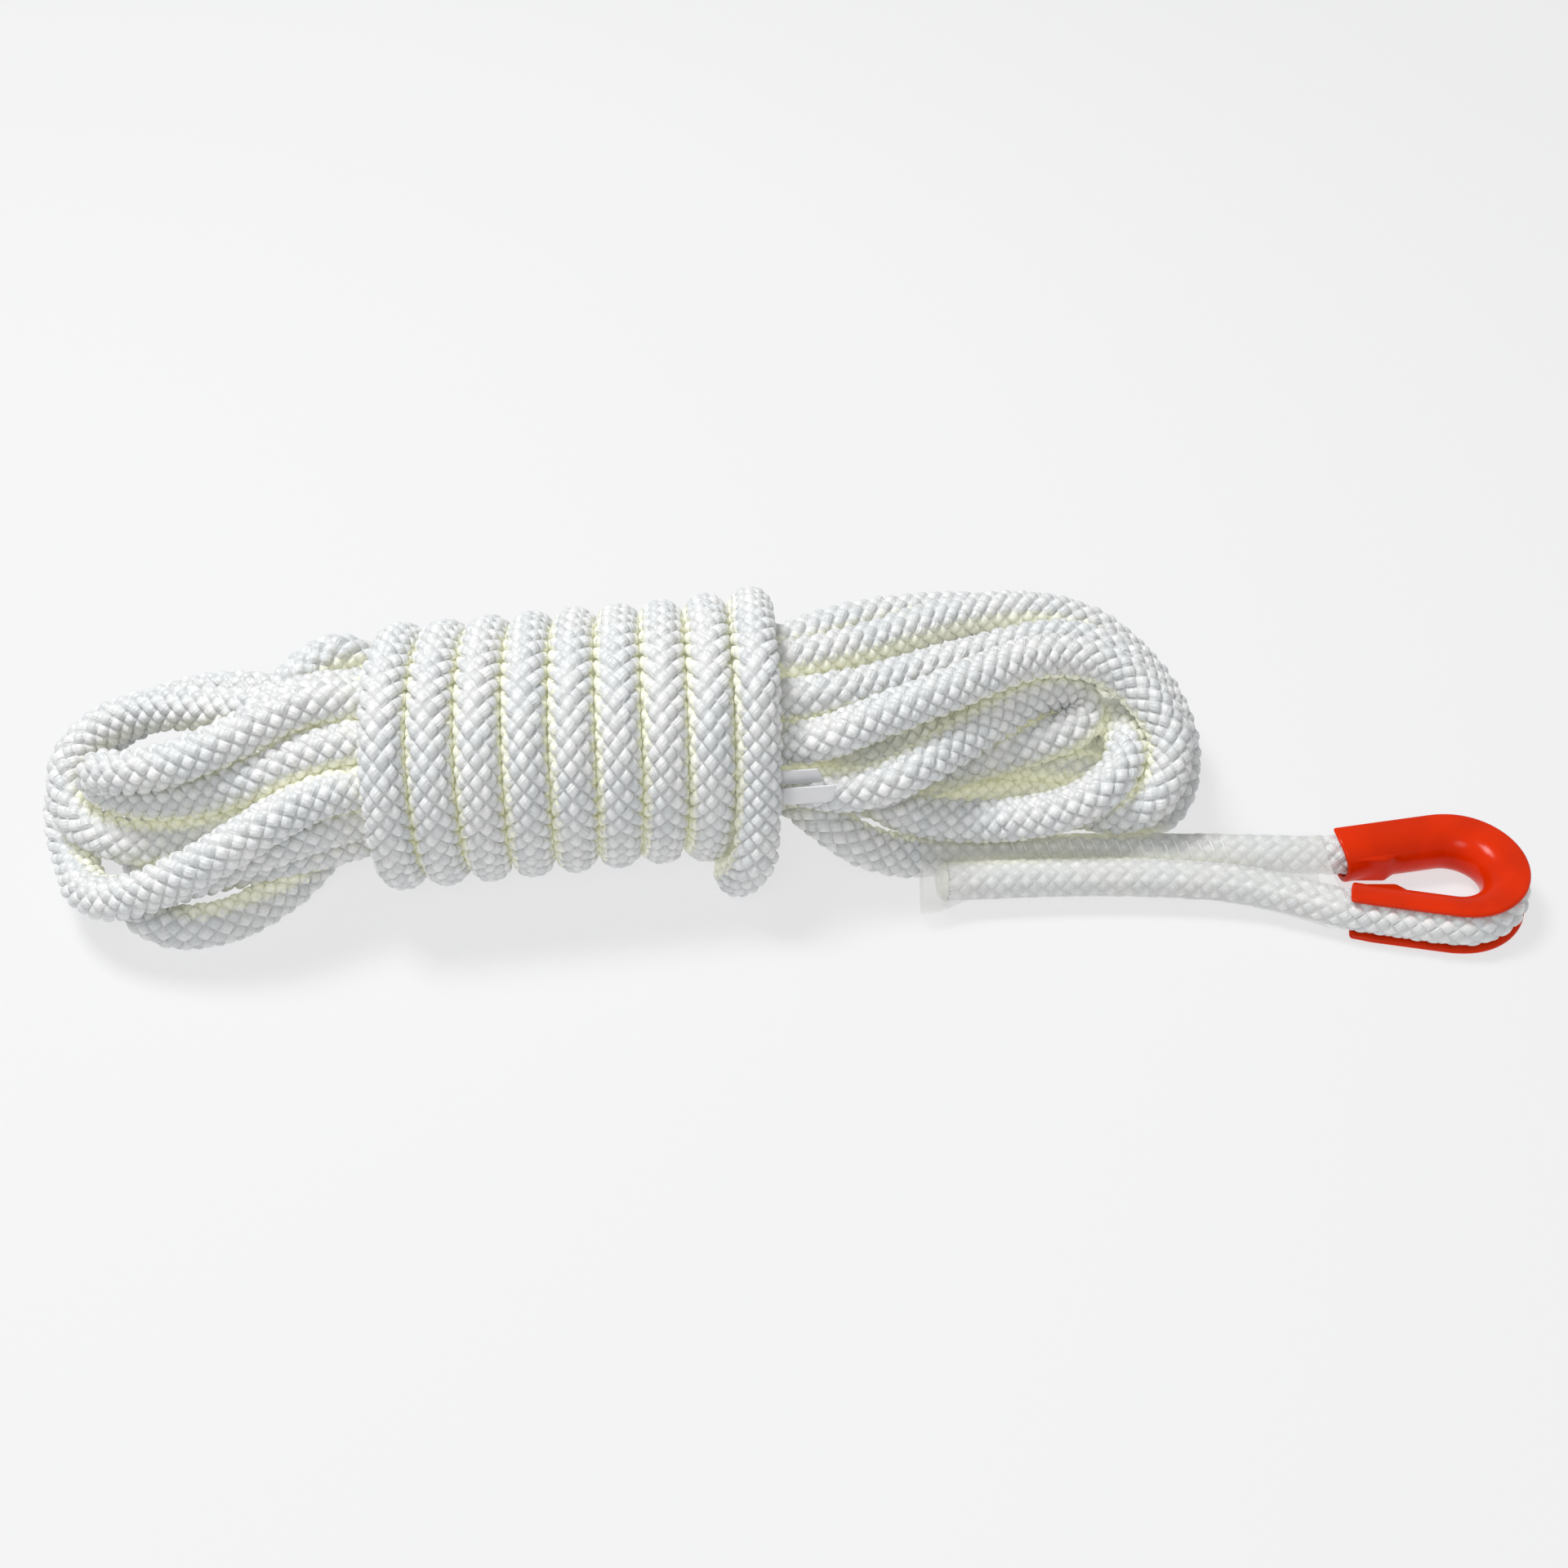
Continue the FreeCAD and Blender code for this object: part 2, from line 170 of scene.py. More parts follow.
def run(right, left, leftwards):
    """Four points of a run under the turns, from its slot at one end of the hank to its slot at the other."""
    points = [slot(right, 50), slot(right, 17), slot(left, -17), slot(left, -50)]
    return points if leftwards else points[::-1]


def crown():
    x, y, z = EYE_CENTRE
    angles = [math.radians(-96 + 24 * i) for i in range(9)]
    return [(x + EYE_POINT_R * math.cos(a), y + EYE_POINT_R * math.sin(a), z) for a in angles]


def turns():
    """The frapping turns but the last two: up the front, over the top and down the back."""
    points = []
    for step in range(TURN_STEPS):
        turn = FIRST_TURN + step / 12
        fan = FAN * (turn - UPRIGHT_TURN) * math.cos(2 * math.pi * turn)
        along = (turn - MIDDLE_TURN) * TURN_PITCH + fan
        points.append(on_hank(along, math.radians(135) - 2 * math.pi * turn, TURN_R))
    return points


ROUTE = [
    TAIL_LEG, crown(), STANDING_LEG, LEAD,
    run("s6", "s6", True), LB1, run("s9", "s8", False), RB1,
    run("s2", "s1", True), LB2, run("s5", "i1", False), RB2,
    run("s7", "s5", True), LB3, run("s8", "s7", False), RB3,
    run("s4", "s3", True), LB4, run("s3", "s2", False), RB4,
    run("i0", "i2", True), LB5, run("s0", "s9", False), RB5,
    run("s1", "s0", True), LB6, run("i1", "s4", False), RB6,
    run("i2", "i0", True), M, turns(), LAST,
]
ROPE_D = 11.8


def route_curve(name, bevel):
    """The rope's centreline: one open NURBS line with the route's points as its control points."""
    points = [p for part in ROUTE for p in part]
    curve = bpy.data.curves.new(name, "CURVE")
    curve.dimensions = "3D"
    curve.resolution_u = 6
    curve.bevel_depth = bevel * MM
    curve.bevel_resolution = 2
    curve.use_fill_caps = bevel > 0
    spline = curve.splines.new("NURBS")
    spline.points.add(len(points) - 1)
    for point, place in zip(spline.points, points):
        point.co = (place[0] * MM, place[1] * MM, place[2] * MM, 1.0)
    spline.order_u = 3
    spline.use_endpoint_u = True
    thing = bpy.data.objects.new(name, curve)
    bpy.context.scene.collection.objects.link(thing)
    return thing


def line_of(thing):
    """The points that Blender gives for a curve with no bevel, in millimetres."""
    mesh = bpy.data.meshes.new_from_object(thing)
    points = np.empty(len(mesh.vertices) * 3)
    mesh.vertices.foreach_get("co", points)
    bpy.data.meshes.remove(mesh)
    return points.reshape(-1, 3) / MM


def unit(v):
    return v / np.linalg.norm(v, axis=-1, keepdims=True)


def lengths_along(points):
    return np.concatenate([[0.0], np.cumsum(np.linalg.norm(np.diff(points, axis=0), axis=1))])


def resampled(points, step):
    """Evenly spaced points, and how far along each one is."""
    along = lengths_along(points)
    at = np.arange(0.0, along[-1], step)
    return np.stack([np.interp(at, along, points[:, i]) for i in range(3)], axis=1), at


def carried_normals(points):
    """A direction across the line at each point, carried along it with no twist of its own."""
    tangents = unit(np.gradient(points, axis=0))
    normal = unit(np.cross(tangents[0], UP))
    normals = [normal]
    for tangent in tangents[1:]:
        normal = normal - tangent * np.dot(normal, tangent)
        normal = normal / np.linalg.norm(normal)
        normals.append(normal)
    return tangents, np.array(normals)


rope_line = route_curve("rope_line", 0.0)
LINE = line_of(rope_line)
bpy.data.objects.remove(rope_line)
COARSE_STEP = 2.0
COARSE, COARSE_AT = resampled(LINE, COARSE_STEP)

# ---- braid ----

CARRIERS = 14
PICK = 4.5                # length of rope over which a carrier comes back up
CELL = 5                  # mesh steps along each side of one float of the braid
RELIEF = 1.5              # height of a float above the valleys between
NARROWING, END_NARROWING = 0.08, 0.03     # how far a float's sides and ends are drawn in, of its size
ROW_STEP = PICK / (2 * CELL)
AROUND = CARRIERS * CELL  # half of these places are used in each row, by turns
ACROSS_POWER, ALONG_POWER = 0.7, 0.5      # how full a float's section is, across and along its filaments
TILT = 0.6                # how far a float may lean either way
EYE_END, HANK_START = 300, 325            # rope lengths between which the rope leaves the eye
SLEEVE_RIGHT, BARE_FROM = 140, 150        # x between which the legs leave the sleeve
SQUEEZE_IN_EYE, SQUEEZE_IN_SLEEVE = 0.45, 0.4
RELIEF_LOST_IN_EYE = 0.65
NEAR = 45.0               # other stretches of rope count within this distance
BEND_ALLOWANCE = 30       # rope this close along the line isn't another stretch
PRESS_RANGE = ROPE_D + 1.5
FLOOR_GAP = 0.05


def smooth(low, high, x):
    t = np.clip((x - low) / (high - low), 0, 1)
    return t * t * (3 - 2 * t)


def rope_radius(rows, at):
    """The rope is squeezed in the thimble, and more in the sleeve."""
    in_eye = 1 - smooth(EYE_END, HANK_START, at)
    in_sleeve = in_eye * (1 - smooth(SLEEVE_RIGHT, BARE_FROM, rows[:, 0]))
    return ROPE_D / 2 - SQUEEZE_IN_EYE * in_eye - SQUEEZE_IN_SLEEVE * in_sleeve


def neighbours_of(points, at):
    """For each coarse point, the numbers of the points of other stretches near it."""
    square = np.sum(COARSE ** 2, axis=1)
    found = []
    for i, point in enumerate(points):
        gap = square - 2 * COARSE @ point + point @ point
        near = np.nonzero((gap < NEAR ** 2) & (np.abs(COARSE_AT - at[i]) > BEND_ALLOWANCE))[0]
        found.append(near)
    return found


def shut_in(centres, way, others):
    """How much of the sky other stretches of rope take up, at a third of the vertices of a few rows."""
    middle = way[::3] * ROPE_D / 2 + centres[::3]
    to = others[None] - middle[:, None]
    far = np.linalg.norm(to, axis=2)
    facing = np.maximum(np.einsum("abc,ac->ab", to, way[::3]) / far, 0)
    cover = np.sum(facing * ROPE_D * COARSE_STEP / (math.pi * np.maximum(far, 5.0) ** 2), axis=1)
    return np.repeat(cover, 3)[: len(way)]


def pressed(centres, spot, close):
    """Two ropes that press on each other share a flat face half way between them."""
    gap = close[None] - centres[:, None]
    size = np.linalg.norm(gap, axis=2)
    into = np.einsum("abc,ac->ab", gap, spot - centres) / size - (size / 2 - 0.05)
    into = np.where(size < PRESS_RANGE, into, -1)
    worst = np.argmax(into, axis=1)
    index = np.arange(len(spot))
    depth = np.maximum(into[index, worst], 0)
    return spot - (gap[index, worst] / size[index, worst][:, None]) * depth[:, None]


def braid():
    """Every vertex of the braided cover, row by row, and how shut in each one is."""
    rows, at = resampled(LINE, ROW_STEP)
    coarse_tangents, coarse_normals = carried_normals(COARSE)
    tangents = unit(np.stack([np.interp(at, COARSE_AT, coarse_tangents[:, i]) for i in range(3)], axis=1))
    normals = np.stack([np.interp(at, COARSE_AT, coarse_normals[:, i]) for i in range(3)], axis=1)
    normals = unit(normals - tangents * np.sum(normals * tangents, axis=1, keepdims=True))
    sides = np.cross(tangents, normals)
    count, half = len(rows), AROUND // 2
    # Each vertex is in cell (i, j) of the weave, at (p, q) in it. One family of floats has the even cells.
    k = np.arange(count)[:, None]
    t = 2 * np.arange(half)[None, :] + (k % 2)
    a, b = (t + k) // 2, (t - k) // 2
    i, j = a // CELL, b // CELL
    p, q = (a - i * CELL) / CELL, (b - j * CELL) / CELL
    over = (i + j) % 2 == 0
    across, along = np.where(over, p, q), np.where(over, q, p)
    draw = np.random.default_rng(7)
    table = draw.random((CARRIERS, count // CELL + 3, 3)).astype(np.float32)
    own = table[(i + j) % CARRIERS, i - j]
    height = np.sin(np.pi * across) ** ACROSS_POWER * np.sin(np.pi * along) ** ALONG_POWER
    height = height * (0.84 + 0.26 * own[..., 0])
    lean_along = TILT * (own[..., 1] - 0.5) * (2 * along - 1)
    lean_across = TILT * (own[..., 2] - 0.5) * (2 * across - 1)
    height = height * (1 + lean_along + lean_across)
    wander = 0.25 * np.sin(at / 61.0) + 0.18 * np.sin(at / 23.0 + 1.0)
    # The steep sides of the floats are narrow: the mesh is drawn towards the valleys between them
    a_near = CELL * (i + p - np.where(over, NARROWING, END_NARROWING) * np.sin(2 * np.pi * p))
    b_near = CELL * (j + q - np.where(over, END_NARROWING, NARROWING) * np.sin(2 * np.pi * q))
    angle = 2 * np.pi * (a_near + b_near) / AROUND + wander[:, None]
    forward = (a_near - b_near - k) * ROW_STEP
    relief = RELIEF - RELIEF_LOST_IN_EYE * (1 - smooth(EYE_END, HANK_START, at))[:, None]
    radius = rope_radius(rows, at)[:, None] + 0.12 - relief * (1 - np.minimum(height, 1.04))
    out = np.cos(angle)[..., None] * normals[:, None] + np.sin(angle)[..., None] * sides[:, None]
    places = rows[:, None] + forward[..., None] * tangents[:, None] + radius[..., None] * out
    shut = np.zeros((count, half), np.float32)
    block = int(round(COARSE_STEP / ROW_STEP))
    near = neighbours_of(COARSE, COARSE_AT)
    for first in range(0, count, block):
        last = min(first + block, count)
        others = COARSE[near[min(int(at[first] / COARSE_STEP + 0.5), len(COARSE) - 1)]]
        if not len(others):
            continue
        centres = np.repeat(rows[first:last], half, axis=0)
        shut[first:last] = shut_in(centres, out[first:last].reshape(-1, 3), others).reshape(last - first, -1)
        middle = rows[first:last].mean(axis=0)
        close = others[np.linalg.norm(others - middle, axis=1) < PRESS_RANGE]
        if len(close):
            spot = pressed(centres, places[first:last].reshape(-1, 3), close)
            places[first:last] = spot.reshape(last - first, -1, 3)
    places[..., 2] = np.maximum(places[..., 2], FLOOR_GAP)
    return rows, at, places, shut


def rope_mesh(name, places, shut, first, last):
    """Diamond-shaped faces between the staggered rows, so that the creases of the weave follow edges."""
    half = AROUND // 2
    count = last - first
    mesh = bpy.data.meshes.new(name)
    k = np.arange(count - 2)[:, None]
    n = np.arange(half)[None, :]
    odd = (k + first) % 2
    below, above = k * half + n, (k + 2) * half + n
    left = (k + 1) * half + (n - 1 + odd) % half
    right = (k + 1) * half + (n + odd) % half
    faces = np.stack([below, right, above, left], axis=2).reshape(-1, 4)
    mesh.vertices.add(count * half)
    mesh.vertices.foreach_set("co", (places[first:last] * MM).astype(np.float32).ravel())
    mesh.loops.add(faces.size)
    mesh.loops.foreach_set("vertex_index", faces.ravel().astype(np.int32))
    mesh.polygons.add(len(faces))
    mesh.polygons.foreach_set("loop_start", np.arange(0, faces.size, 4, dtype=np.int32))
    mesh.update(calc_edges=True)
    mesh.polygons.foreach_set("use_smooth", np.ones(len(faces), bool))
    # The weave's own coordinates: one unit of each is one carrier's width
    k_all = k + first
    t = 2 * n + odd
    corner_k = np.stack([k_all + 0 * n, k_all + 1 + 0 * n, k_all + 2 + 0 * n, k_all + 1 + 0 * n], axis=2)
    corner_t = np.stack([t, t + 1, t, t - 1], axis=2)
    u, v = (corner_t + corner_k) / 2 / CELL, (corner_t - corner_k) / 2 / CELL
    layer = mesh.uv_layers.new(name="weave")
    layer.data.foreach_set("uv", np.stack([u, v], axis=3).astype(np.float32).ravel())
    sky = mesh.attributes.new("shut_in", "FLOAT", "POINT")
    sky.data.foreach_set("value", shut[first:last].ravel().astype(np.float32))
    mesh.validate()
    return mesh


def link(name, mesh, material):
    thing = bpy.data.objects.new(name, mesh)
    mesh.materials.append(material)
    bpy.context.scene.collection.objects.link(thing)
    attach(thing, "root")
    return thing


# ---- materials ----

class Nodes:
    """Short calls for building one node material."""

    def __init__(self, name):
        self.material = bpy.data.materials.new(name)
        self.material.use_nodes = True
        self.tree = self.material.node_tree
        self.shader = self.tree.nodes["Principled BSDF"]

    def add(self, kind, **settings):
        node = self.tree.nodes.new("ShaderNode" + kind)
        for key, value in settings.items():
            setattr(node, key, value)
        return node

    def join(self, a, b):
        self.tree.links.new(a, b)

    def value(self, node, name, source):
        """Gives a node's input a number, or the output of another node."""
        if isinstance(source, bpy.types.NodeSocket):
            self.join(source, node.inputs[name])
        else:
            node.inputs[name].default_value = source

    def maths(self, operation, a, b=0.0, c=0.0):
        node = self.add("Math", operation=operation)
        for i, source in enumerate((a, b, c)):
            self.value(node, i, source)
        return node.outputs[0]

    def mix(self, factor, a, b):
        node = self.add("Mix", data_type="RGBA")
        self.value(node, 0, factor)
        self.value(node, 6, a)
        self.value(node, 7, b)
        return node.outputs[2]

    def ramp(self, source, low, high):
        node = self.add("MapRange", interpolation_type="SMOOTHSTEP")
        self.value(node, "Value", source)
        node.inputs["From Min"].default_value = low
        node.inputs["From Max"].default_value = high
        return node.outputs[0]

    def noise(self, vector, scale, detail=2.0):
        node = self.add("TexNoise")
        node.inputs["Scale"].default_value = scale
        node.inputs["Detail"].default_value = detail
        if vector is not None:
            self.join(vector, node.inputs["Vector"])
        return node.outputs["Fac"]

    def vector(self, x, y, z=0.0):
        node = self.add("CombineXYZ")
        for i, source in enumerate((x, y, z)):
            self.value(node, i, source)
        return node.outputs[0]

    def bump(self, height, strength, distance):
        node = self.add("Bump")
        node.inputs["Strength"].default_value = strength
        node.inputs["Distance"].default_value = distance
        self.join(height, node.inputs["Height"])
        self.join(node.outputs[0], self.shader.inputs["Normal"])

    def set(self, **values):
        for key, value in values.items():
            self.shader.inputs[key.replace("_", " ")].default_value = value


def rope_material():
    """White filament braid: filaments run along each float, and shut-in places get painted light: a
    pale-yellow tint and a faint glow, standing in for light bounced between the ropes and through the yarn.
    """
    n = Nodes("white_braid")
    n.set(Roughness=0.3, IOR=1.5)
    n.shader.inputs["Sheen Weight"].default_value = 0.1
    n.shader.inputs["Sheen Roughness"].default_value = 0.4
    weave = n.add("UVMap", uv_map="weave")
    split = n.add("SeparateXYZ")
    n.join(weave.outputs[0], split.inputs[0])
    u, v = split.outputs[0], split.outputs[1]
    cells = n.maths("ADD", n.maths("FLOOR", u), n.maths("FLOOR", v))
    over = n.maths("LESS_THAN", n.maths("FLOORED_MODULO", cells, 2.0), 0.5)
    across = n.maths("ADD", n.maths("MULTIPLY", over, n.maths("SUBTRACT", u, v)), v)
    along = n.maths("ADD", n.maths("MULTIPLY", over, n.maths("SUBTRACT", v, u)), u)
    filaments = n.vector(n.maths("MULTIPLY", across, 11.0), n.maths("MULTIPLY", along, 0.8))
    threads = n.noise(filaments, 1.0, 3.0)
    strands = n.maths("SINE", n.maths("MULTIPLY", across, 2 * math.pi * 5))
    height = n.maths("ADD", threads, n.maths("MULTIPLY", strands, 0.1))
    n.bump(height, 0.6, 0.0004)
    shut = n.add("Attribute", attribute_name="shut_in").outputs["Fac"]
    place = n.add("TexCoord").outputs["Object"]
    patches = n.ramp(n.noise(place, 60.0), 0.4, 0.6)
    bright = n.mix(patches, (0.83, 0.845, 0.85, 1), (0.88, 0.878, 0.868, 1))
    lot = n.add("TexWhiteNoise", noise_dimensions="2D")
    n.join(n.vector(n.maths("FLOOR", u), n.maths("FLOOR", v)), lot.inputs["Vector"])
    # Painted reflection shade: one family of floats is painted greyer, as the filaments' reflection of the
    # light makes it look, and each float gets a random grey of its own.
    own_grey = n.maths("MULTIPLY", lot.outputs["Value"], 0.16)
    darker = n.maths("ADD", own_grey, n.maths("MULTIPLY", over, 0.22))
    painted_reflection_grey = n.mix(darker, bright, (0.45, 0.48, 0.5, 1))
    # Painted shade between the filaments: a darker copy of the colour, shown where the filaments' bump is low.
    shaded = n.mix(0.12, painted_reflection_grey, (0.4, 0.42, 0.42, 1))
    streaked = n.mix(n.ramp(threads, 0.35, 0.6), shaded, painted_reflection_grey)
    # Painted bounce light: the more shut in a place is, the more its colour is painted pale yellow.
    painted_gap_tint = n.mix(n.ramp(shut, 0.75, 1.5), streaked, (0.87, 0.87, 0.74, 1))
    n.join(painted_gap_tint, n.shader.inputs["Base Color"])
    # Painted glow: the deepest gaps get a faint pale-yellow emission, standing in for light that comes through
    # the yarn.
    painted_gap_glow = n.mix(n.ramp(shut, 0.9, 2.0), (0, 0, 0, 1), (0.11, 0.112, 0.085, 1))
    n.join(painted_gap_glow, n.shader.inputs["Emission Color"])
    n.set(Emission_Strength=1.0)
    return n.material


def plain_material(name, colour, roughness, mottle, scale, bump):
    """Moulded or drawn material with a slight mottle and a fine surface."""
    n = Nodes(name)
    n.set(Roughness=roughness)
    place = n.add("TexCoord").outputs["Object"]
    darker = tuple(c * (1 - mottle) for c in colour[:3]) + (1,)
    n.join(n.mix(n.ramp(n.noise(place, scale), 0.35, 0.65), darker, colour), n.shader.inputs["Base Color"])
    n.bump(n.noise(place, scale * 12), bump, 0.0002)
    return n.material


white_braid = rope_material()
core_yarn = plain_material("core_yarn", (0.78, 0.78, 0.7, 1), 0.7, 0.1, 300, 0.5)
red_plastic = plain_material("red_plastic", (0.72, 0.029, 0.001, 1), 0.2, 0.12, 90, 0.12)
red_shader = red_plastic.node_tree.nodes["Principled BSDF"]
red_shader.inputs["Specular IOR Level"].default_value = 0.15
thread_white = plain_material("thread_white", (0.88, 0.88, 0.86, 1), 0.5, 0.08, 900, 0.5)
film_grey = plain_material("film_grey", (0.8, 0.8, 0.82, 1), 0.4, 0.05, 200, 0.2)
melted_white = plain_material("melted_white", (0.78, 0.77, 0.68, 1), 0.3, 0.15, 500, 0.6)


def film_material():
    """Milky shrink film with fine creases along it and faint cloudy patches."""
    n = Nodes("milky_film")
    n.set(Roughness=0.2, Alpha=0.23, IOR=1.45)
    place = n.add("TexCoord").outputs["Object"]
    stretch = n.add("Mapping")
    n.join(place, stretch.inputs["Vector"])
    stretch.inputs["Scale"].default_value = (60.0, 500.0, 500.0)
    creases = n.noise(stretch.outputs[0], 1.0, 3.0)
    clouds = n.ramp(n.noise(place, 160.0), 0.35, 0.7)
    n.join(n.mix(clouds, (0.90, 0.905, 0.88, 1), (0.95, 0.95, 0.93, 1)), n.shader.inputs["Base Color"])
    n.bump(creases, 0.35, 0.0003)
    return n.material


milky_film = film_material()

# ---- rope pieces ----

rows, at, places, shut = braid()
hank_s = (rows - HANK_MIDDLE) @ ALONG
hank_r = np.linalg.norm((rows - HANK_MIDDLE) - hank_s[:, None] * ALONG, axis=1)
# The cover is in pieces that meet out of sight, half way along each run under the turns
UNDER_TURNS_R = 22
FIRST_WOUND = 13          # the piece where the turns start
cuts = [0]
for row in range(1, len(rows)):
    if hank_r[row] < UNDER_TURNS_R and (hank_s[row - 1] < 0) != (hank_s[row] < 0):
        cuts.append(row)
wound = cuts[FIRST_WOUND]
for turn in (3, 6):
    # Where this turn passes along the floor
    off_turn = np.abs(hank_s[wound:] - (turn - MIDDLE_TURN - 0.375) * TURN_PITCH)
    low = np.argmin(off_turn + np.abs(rows[wound:, 2] - ROPE_D / 2))
    cuts.append(wound + int(low))
cuts.append(len(rows))

CORE_R = 4.25
core = route_curve("rope_core", CORE_R)
core.data.materials.append(core_yarn)
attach(core, "root")
for number, (first, last) in enumerate(zip(cuts, cuts[1:])):
    name = f"rope_cover_{number + 1:02d}"
    mesh = rope_mesh(name, places, shut, max(first - 1, 0), min(last + 1, len(rows)))
    link(name, mesh, white_braid)
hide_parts("eye_rope_core", "lead_rope_core")
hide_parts("eye_rope_cover", "lead_rope_cover")
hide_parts("left_bights", "folded_runs")
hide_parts("right_bights")
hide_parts("frapping_turns")


def mesh_object(name, verts, faces, material, smooth_faces=True):
    mesh = bpy.data.meshes.new(name)
    mesh.from_pydata([tuple(v) for v in np.asarray(verts) * MM], [], faces)
    mesh.update()
    mesh.validate()
    if smooth_faces:
        mesh.polygons.foreach_set("use_smooth", np.ones(len(mesh.polygons), bool))
    return link(name, mesh, material)


def skin(rows, columns, closed=True):
    """Quads over a grid of rows, joined round when closed."""
    faces = []
    for k in range(rows - 1):
        for n in range(columns if closed else columns - 1):
            m = (n + 1) % columns
            faces.append((k * columns + n, k * columns + m, (k + 1) * columns + m, (k + 1) * columns + n))
    return faces


# ---- melted rope ends ----

CAP_RINGS, CAP_BULGE = 9, 2.6


def rope_end(name, row, way):
    """Cover closed over the end of the rope, where heat has melted it into a blunt cap."""
    ring = places[row]
    centre = rows[row]
    tangent = unit(rows[min(row + 3, len(rows) - 1)] - rows[max(row - 3, 0)]) * way
    grown = []
    draw = np.random.default_rng(11)
    for step in range(CAP_RINGS):
        tilt = math.radians(90 * step / 8.4)
        shrink, push = math.cos(tilt), CAP_BULGE * math.sin(tilt)
        rough = 0.12 * (draw.random(len(ring)) - 0.5) * (step > 1)
        drawn_in = (ring - centre) * (shrink + rough * 0.2)[:, None]
        grown.append(centre + drawn_in + tangent * (push + rough)[:, None])
    verts = np.concatenate(grown)
    faces = skin(CAP_RINGS, len(ring))
    faces.append(tuple(range((CAP_RINGS - 1) * len(ring), CAP_RINGS * len(ring))))
    if way > 0:
        faces = [f[::-1] for f in faces]
    verts[:, 2] = np.maximum(verts[:, 2], FLOOR_GAP)
    return mesh_object(name, verts, faces, melted_white)


tail_end = rope_end("rope_end_tail", 0, -1)
bitter_end = rope_end("rope_end_bitter", len(rows) - 1, 1)

# ---- clear sleeve shrunk over the splice ----

SLEEVE_STEP = 0.7
SLEEVE_FROM, SLEEVE_TO = 36.6, 144.0
SLEEVE_XS = np.arange(SLEEVE_FROM, SLEEVE_TO, SLEEVE_STEP)
SECTORS = 36              # directions round a leg in which its rope's radius is kept
FILM_GAP, FILM = 0.16, 0.14
GROOVE_DIP = math.radians(30)             # how far round each leg the film follows it into the groove
STANDING_ROWS = (at > 150) & (at < 320)
TAIL_ROWS = at < 150


def leg_field(chosen):
    """A leg's centreline, and its rope's outer radius over x and angle, from the back over the top."""
    centres = rows[chosen]
    order = np.argsort(centres[:, 0])
    centre = [np.interp(SLEEVE_XS, centres[order, 0], centres[order, i]) for i in (1, 2)]
    if chosen[0]:
        slope = (centre[0][14] - centre[0][10]) / (4 * SLEEVE_STEP)
        short = SLEEVE_XS < centres[:, 0].min()
        centre[0] = np.where(short, centres[0, 1] + slope * (SLEEVE_XS - centres[0, 0]), centre[0])
    spots = places[chosen].reshape(-1, 3)
    cy, cz = (np.interp(spots[:, 0], SLEEVE_XS, c) for c in centre)
    radius = np.hypot(spots[:, 1] - cy, spots[:, 2] - cz)
    angle = np.arctan2(spots[:, 2] - cz, spots[:, 1] - cy)
    xi = np.clip(((spots[:, 0] - SLEEVE_FROM) / SLEEVE_STEP + 0.5).astype(int), -1, len(SLEEVE_XS))
    ai = ((angle / (2 * np.pi) + 1.0) * SECTORS + 0.5).astype(int) % SECTORS
    inside = (xi >= 0) & (xi < len(SLEEVE_XS)) & (radius < 8)
    field = np.full((len(SLEEVE_XS), SECTORS), 4.9)
    np.maximum.at(field, (xi[inside], ai[inside]), radius[inside])
    for _ in range(2):
        field = (field + np.maximum(np.roll(field, 1, 1), np.roll(field, -1, 1))) / 2
        field[1:-1] = (2 * field[1:-1] + field[:-2] + field[2:]) / 4
    return np.stack(centre, axis=1), field


def sampled(field, k, angle):
    """A leg's radius at one x and any angle, between the kept directions."""
    where = (angle / (2 * np.pi)) * SECTORS % SECTORS
    low = int(where)
    part = where - low
    return field[k, low % SECTORS] * (1 - part) + field[k, (low + 1) % SECTORS] * part


